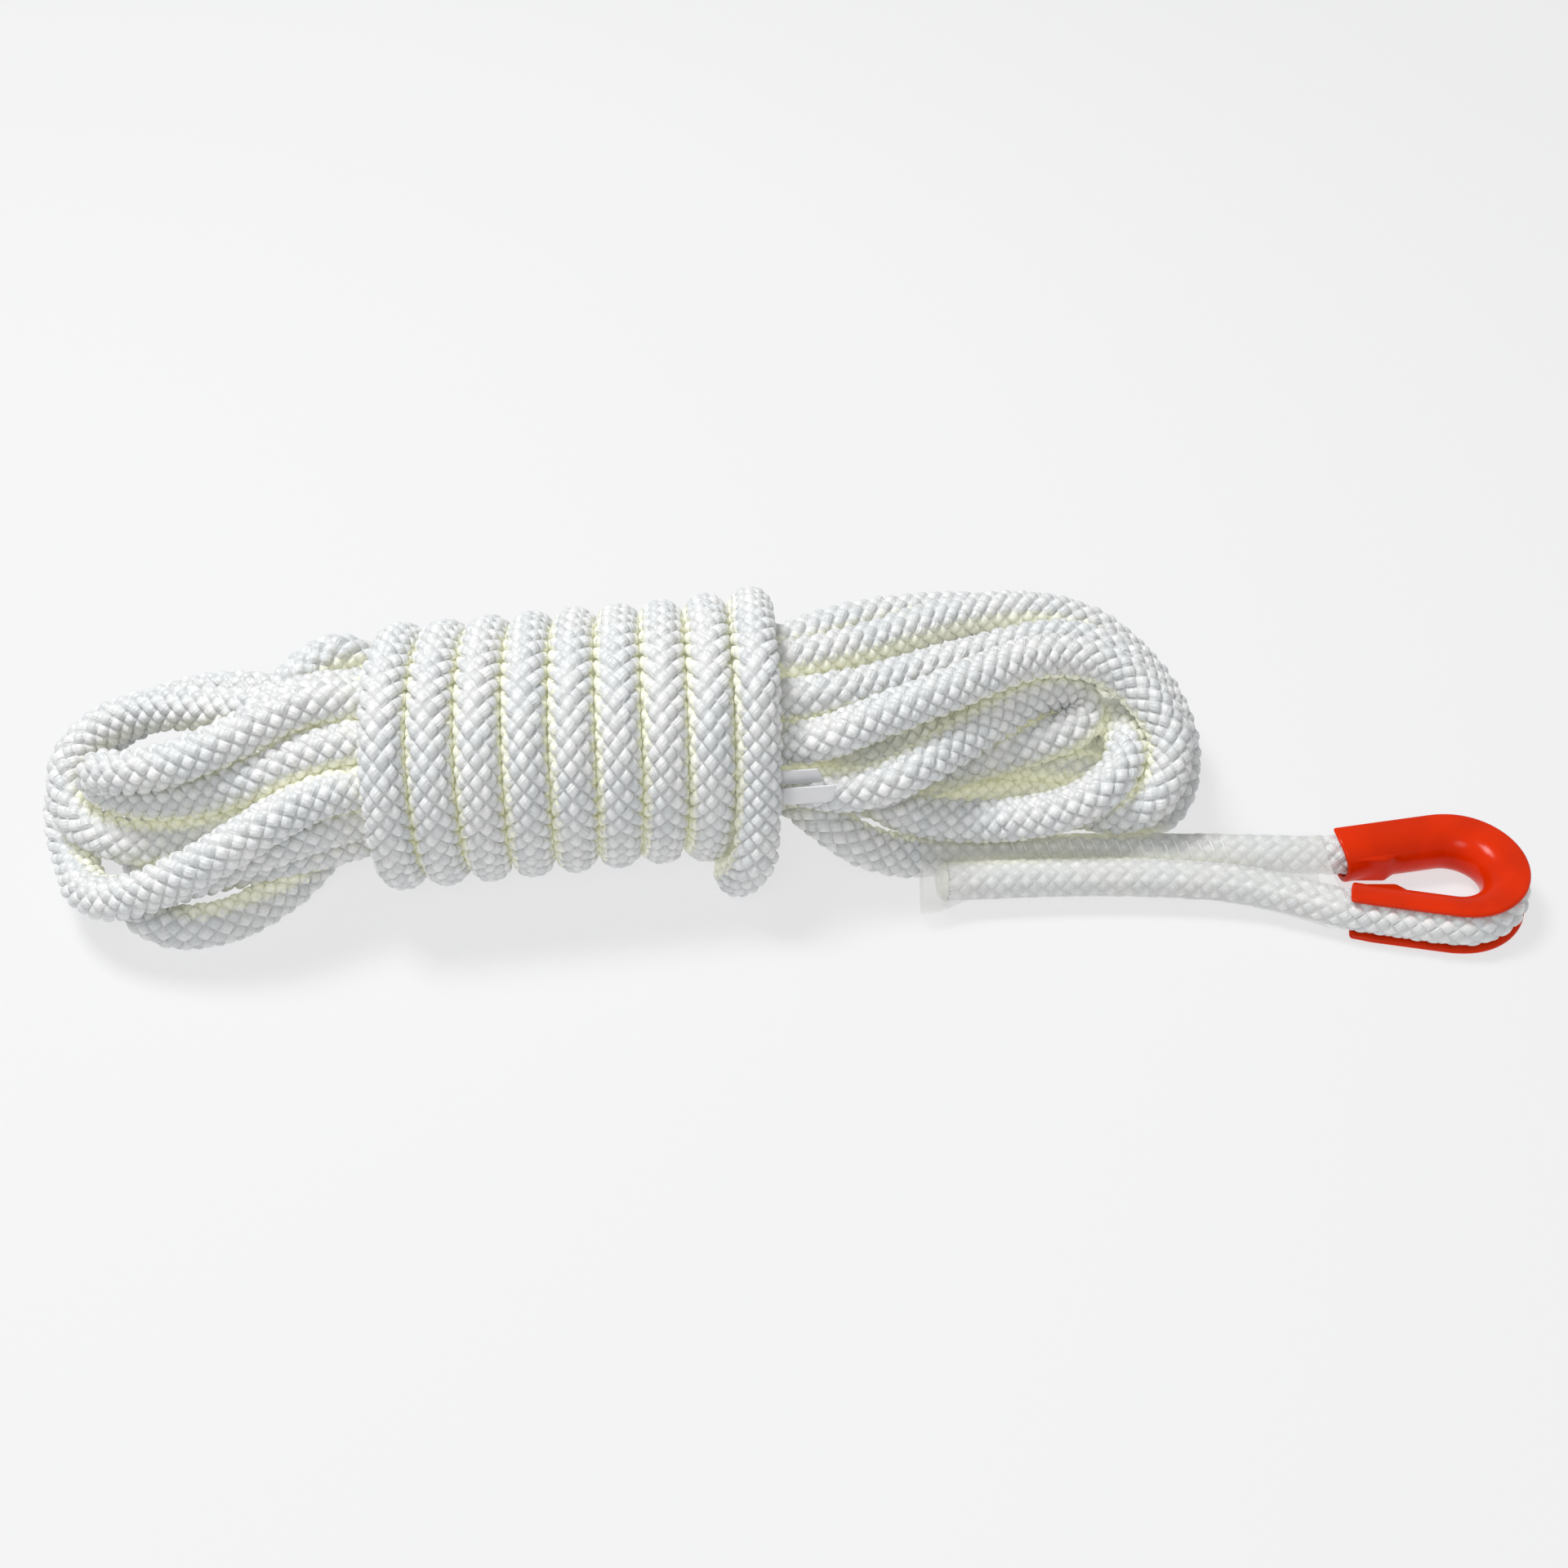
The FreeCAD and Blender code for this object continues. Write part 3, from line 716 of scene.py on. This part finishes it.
def sleeve():
    """Film drawn tight over both legs: it follows the braid outside and spans the groove between."""
    back, back_field = leg_field(STANDING_ROWS)
    front, front_field = leg_field(TAIL_ROWS)
    draw = np.random.default_rng(5)
    sag_noise = np.convolve(draw.random(len(SLEEVE_XS) + 8), np.ones(9) / 9, "valid")
    outer = []
    for k, x in enumerate(SLEEVE_XS):
        loose = 1 - smooth(41, 50, x)
        section = []

        def lay(centre, field, start, end, count, is_front):
            for step in range(count):
                angle = start + (end - start) * step / (count - 1)
                radius = sampled(field, k, angle) + FILM_GAP
                if is_front:
                    radius = max(radius, 5.55 * loose)
                    toward = max(math.cos(angle - math.radians(215)), 0)
                    radius += loose * (0.3 + 2.1 * toward ** 3)
                y, z = centre[k] + radius * np.array([math.cos(angle), math.sin(angle)])
                section.append((x, y, z))

        def span(count, depth):
            """Across the groove to the other leg, with a sag, filled in once the other side is known."""
            section.extend([("span", step, count, depth) for step in range(1, count)])

        depth = 0.35 + 0.5 * sag_noise[k]
        lay(back, back_field, -math.pi / 2 - GROOVE_DIP, math.pi / 2 + GROOVE_DIP, 34, False)
        span(9, -depth)
        lay(front, front_field, math.pi / 2 - GROOVE_DIP, 3 * math.pi / 2 + GROOVE_DIP, 34, True)
        span(9, depth)
        points = []
        for n, item in enumerate(section):
            if item[0] != "span":
                points.append(np.array(item))
                continue
            _, step, count, sag = item
            a = np.array(section[n - step])
            b = np.array(section[(n + count - step) % len(section)])
            part = step / count
            point = a + (b - a) * part
            point[2] += sag * math.sin(math.pi * part)
            points.append(point)
        points = np.array(points)
        # The right-hand end is cut at a slant, the left-hand end nearly square
        slant = 1 + (x - SLEEVE_TO) / 30
        if slant > 0:
            level = (points[:, 1] - back[k, 0]) / (front[k, 0] - back[k, 0])
            under = np.clip((front[k, 1] - points[:, 2]) / 5, 0, 1)
            points[:, 0] += slant * (-2.0 + 2.2 * level - 4.0 * under * np.clip(level, 0, 1))
        points[:, 2] = np.maximum(points[:, 2], 0.3)
        outer.append(points)
    outer = np.array(outer)
    middle = outer.mean(axis=1, keepdims=True)
    around = np.roll(outer, -1, 1) - np.roll(outer, 1, 1)
    normal = unit(np.cross(around, np.array([1.0, 0, 0])))
    normal *= np.sign(np.sum(normal * (outer - middle), axis=2, keepdims=True))
    inner = outer - normal * FILM
    count, columns = outer.shape[:2]
    verts = np.concatenate([outer.reshape(-1, 3), inner.reshape(-1, 3)])
    half = count * columns
    faces = skin(count, columns)
    faces += [tuple(half + i for i in f[::-1]) for f in skin(count, columns)]
    for row, flip in ((0, False), (count - 1, True)):
        for n in range(columns):
            m = (n + 1) % columns
            near, far = row * columns + n, row * columns + m
            quad = (near, half + near, half + far, far)
            faces.append(quad[::-1] if flip else quad)
    return mesh_object("sleeve_film", verts, faces, milky_film)


sleeve_film = sleeve()
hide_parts("shrink_sleeve")

# ---- stitching under the sleeve ----

STITCH_FROM, STITCH_PITCH, STITCHES = 60.0, 3.05, 19


def stitch_points():
    """One thread that goes over the standing leg, down through it and up again, stitch after stitch."""
    centre, field = leg_field(STANDING_ROWS)
    points = []
    draw = np.random.default_rng(3)
    for stitch in range(STITCHES):
        for step in range(9):
            part = step / 8
            angle = math.radians(84 + 84 * part)
            sunk = 1.2 * (step in (0, 8))
            x = STITCH_FROM + stitch * STITCH_PITCH + 2.6 * part + 0.2 * draw.random()
            k = int((x - SLEEVE_FROM) / SLEEVE_STEP)
            radius = sampled(field, k, angle) + 0.02 - sunk
            y, z = centre[k] + radius * np.array([math.cos(angle), math.sin(angle)])
            points.append((x, y, z))
    return points


thread = bpy.data.curves.new("splice_thread", "CURVE")
thread.dimensions = "3D"
thread.resolution_u = 3
thread.bevel_depth = 0.36 * MM
thread.bevel_resolution = 2
thread.use_fill_caps = True
spots = stitch_points()
line = thread.splines.new("NURBS")
line.points.add(len(spots) - 1)
for point, spot in zip(line.points, spots):
    point.co = (spot[0] * MM, spot[1] * MM, spot[2] * MM, 1.0)
line.order_u = 3
line.use_endpoint_u = True
splice_thread = link("splice_thread", thread, thread_white)
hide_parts("splice_stitching")

# ---- flat strip under the last turn ----

STRIP_FROM, STRIP_T = 24, 0.5
STRIP_Y = -23.55          # across the hank: against the front of the folded runs
STRIP_PARTS = (0, 0.2, 0.4, 0.52, 0.58, 0.64, 0.7, 0.76, 0.82, 0.88, 0.94, 1)


def strip():
    """Flat strip cut into two tongues, which the rope beside the last turn pushes out."""
    verts, faces = [], []
    # Where each tongue ends, its lower and upper edge at both ends, how far it is pushed out, and its slant
    for reach, low, high, push, slant in (
        (59.5, (35.4, 35.3), (40.4, 40.2), 3.8, -2.0), (62.5, (28.8, 27.9), (34.2, 33.9), 6.6, 0.9),
    ):
        base = len(verts)
        for mark in STRIP_PARTS:
            s = STRIP_FROM + (reach - STRIP_FROM) * mark
            for step in range(7):
                part = step / 6
                end = smooth(0.6, 1, mark)
                curl = 0.25 * math.sin(math.pi * part) + 0.5 * end * part
                pushed = push * smooth(44, 53, s)
                z = low[0] + (low[1] - low[0]) * mark
                z += (high[0] + (high[1] - high[0]) * mark - z) * part + pushed
                y = STRIP_Y - curl - pushed
                along = s + end * slant * (part - 0.5)
                verts.append(HANK_MIDDLE + along * ALONG + y * BACKWARDS + (z - HANK_MIDDLE[2]) * UP)
        faces += [tuple(base + i for i in f) for f in skin(len(STRIP_PARTS), 7, closed=False)]
    thing = mesh_object("tie_strip_piece", verts, faces, film_grey)
    thick = thing.modifiers.new("thick", "SOLIDIFY")
    thick.thickness = STRIP_T * MM
    thick.offset = 0
    edge = thing.modifiers.new("edge", "BEVEL")
    edge.width, edge.segments, edge.limit_method = 0.12 * MM, 2, "ANGLE"
    return thing


tie_strip = strip()
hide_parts("tie_strip")

# ---- thimble ----

LEG_END_X, LEG_HALF_GAP, EYE_BEND_R = 145.0, 9.3, 14.4
WALL = 1.5
UPPER_REACH, LOWER_REACH = 3.9, 3.1       # the flanges beyond the web, on the back leg and on the front leg
CROWN_REACH = 0.9                         # and further at the crown
UNDERSIDE_REACH = 1.2                     # the lower flange stands out further all round
PAD_TO_X, PAD_HALF_GAP, PAD_HALF_HEIGHT, PAD_BLEND = 156.3, 4.1, 4.0, 3.5
ROUNDED_END = ((0.0, 0.12), (0.14, 0.45), (0.4, 0.66), (0.8, 0.75))    # (distance, half wall)
WEB_ANGLES = (90, 82, 74, 66, 58, 51, 45, 40, 37, 34.9, 33.2, 30, 25, 19, 13, 6.5, 0)


def channel(half_wall, reach):
    """Section of the thimble: (outwards, height) round a ribbon of the given half thickness."""
    middle_r = 7 - WALL / 2
    tip = reach - WALL / 2
    angles = [math.radians(a) for a in WEB_ANGLES + tuple(-a for a in WEB_ANGLES[-2::-1])]
    loop = []
    for side in (1, -1):
        r = middle_r + side * half_wall
        flat = [(tip * (1 - k / 4), r) for k in range(4)]
        arc = [(-r * math.cos(a), r * math.sin(a)) for a in angles]
        whole = flat + arc + [(o, -h) for o, h in flat[::-1]]
        loop.append(whole if side > 0 else whole[::-1])
    caps = []
    for turn in range(1, 6):
        a = math.radians(90 - 30 * turn)
        caps.append((tip + half_wall * math.cos(a), half_wall * math.sin(a)))
    high_cap = [(o, middle_r + h) for o, h in caps[::-1]]
    low_cap = [(o, -middle_r + h) for o, h in caps[::-1]]
    return loop[0], low_cap, loop[1], high_cap


def thimble():
    """The channel swept round the eye: back leg, crown, front leg, with flat pads inside the legs' ends."""
    cx, cy, cz = EYE_CENTRE
    back = cx - LEG_END_X
    reach = math.hypot(back, LEG_HALF_GAP)
    taper = math.atan2(back, LEG_HALF_GAP) - math.acos(EYE_BEND_R / reach)
    end = np.array([-back, LEG_HALF_GAP])
    meet = EYE_BEND_R * np.array([-math.sin(taper), math.cos(taper)])
    leg = np.linalg.norm(meet - end)
    out_of_leg = meet / EYE_BEND_R
    stations = []             # (place in the eye's plane, outwards, distance from the leg's end, half wall)
    for distance, half_wall in ROUNDED_END:
        stations.append((end + (meet - end) * distance / leg, out_of_leg, distance, half_wall, UPPER_REACH))
    pad_end = (PAD_TO_X - LEG_END_X) / math.cos(taper)
    plain = [1.6, 2.6, 3.8, 5.2, 6.8, 8.4, 10.0, pad_end, pad_end + 0.8, pad_end + 1.6]
    plain += list(np.linspace(pad_end + PAD_BLEND, leg, 12))
    for distance in plain:
        stations.append((end + (meet - end) * distance / leg, out_of_leg, distance, 0.75, UPPER_REACH))
    start = math.pi / 2 + taper
    for step in range(1, 44):
        angle = start - (math.pi + 2 * taper) * step / 44
        way = np.array([math.cos(angle), math.sin(angle)])
        level = (1 + math.sin(angle)) / 2
        flange = LOWER_REACH + (UPPER_REACH - LOWER_REACH) * level + CROWN_REACH * max(math.cos(angle), 0)
        stations.append((EYE_BEND_R * way, way, 99.0, 0.75, flange))
    back_leg = stations[: len(ROUNDED_END) + len(plain)]
    stations += [(p * (1, -1), o * (1, -1), d, w, LOWER_REACH) for p, o, d, w, _ in back_leg[::-1]]
    verts, columns = [], 0
    for place, outwards, distance, half_wall, flange in stations:
        outer_side, low_cap, inner_side, high_cap = channel(half_wall, flange)
        section = []
        for n, (o, h) in enumerate(outer_side):
            if distance < pad_end + PAD_BLEND and abs(h) < PAD_HALF_HEIGHT:
                flat = (PAD_HALF_GAP + (0.75 - half_wall) - abs(place[1])) / abs(outwards[1])
                o = min(o, flat + (o - flat) * smooth(pad_end, pad_end + PAD_BLEND, distance))
            section.append((o, h))
        section += low_cap + inner_side + high_cap
        columns = len(section)
        for o, h in section:
            o += UNDERSIDE_REACH * smooth(0, flange, o) * (h < 0)
            x, y = place + outwards * o
            # The leg's end is scooped out a little between its flanges
            scoop = 1.6 * max(1 - (h / 7) ** 2, 0) + 2.4 * max(-h / 7, 0) ** 3
            verts.append((cx + x + scoop * (1 - smooth(0, 9, distance)), cy + y, cz + h))
    faces = skin(len(stations), columns)
    half = len(channel(0.75, UPPER_REACH)[0])
    cap = len(channel(0.75, UPPER_REACH)[1])
    for row, flip in ((0, True), (len(stations) - 1, False)):
        base = row * columns
        quads = [(n, n + 1, half + cap + half - 2 - n, half + cap + half - 1 - n) for n in range(half - 1)]
        quads.append(tuple(range(half - 1, half + cap + 1)))
        quads.append(tuple(range(2 * half + cap - 1, columns)) + (0,))
        for quad in quads:
            quad = tuple(base + i for i in quad)
            faces.append(quad if flip else quad[::-1])
    return mesh_object("thimble_channel", verts, [f[::-1] for f in faces], red_plastic)


thimble_piece = thimble()
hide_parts("thimble")

# ---- floor and light ----

floor_mesh = bpy.data.meshes.new("floor")
floor_mesh.from_pydata([(-4, -4, 0), (4, -4, 0), (4, 4, 0), (-4, 4, 0)], [], [(0, 1, 2, 3)])
floor = bpy.data.objects.new("floor", floor_mesh)
bpy.context.scene.collection.objects.link(floor)
floor_nodes = Nodes("pale_floor")
floor_nodes.set(Base_Color=(0.22, 0.22, 0.222, 1), Roughness=0.9, Emission_Color=(0.99, 0.99, 1.0, 1))
floor_nodes.set(Emission_Strength=0.645)
floor_mesh.materials.append(floor_nodes.material)

world = bpy.data.worlds.new("studio")
bpy.context.scene.world = world
world.use_nodes = True
world.node_tree.nodes["Background"].inputs["Color"].default_value = (0.97, 0.985, 0.98, 1)
world.node_tree.nodes["Background"].inputs["Strength"].default_value = 0.39


def area_light(name, place, power, size, colour=(1, 1, 1)):
    lamp = bpy.data.lights.new(name, "AREA")
    lamp.energy, lamp.size, lamp.color = power, size, colour
    thing = bpy.data.objects.new(name, lamp)
    thing.location = place
    thing.rotation_euler = (-Vector(place)).to_track_quat("-Z", "Y").to_euler()
    bpy.context.scene.collection.objects.link(thing)


area_light("key", (-0.4, 0.2, 1.1), 9.6, 0.34)
area_light("front", (-0.1, -0.95, 1.1), 4.3, 0.5)
bpy.context.scene.view_settings.view_transform = "Standard"
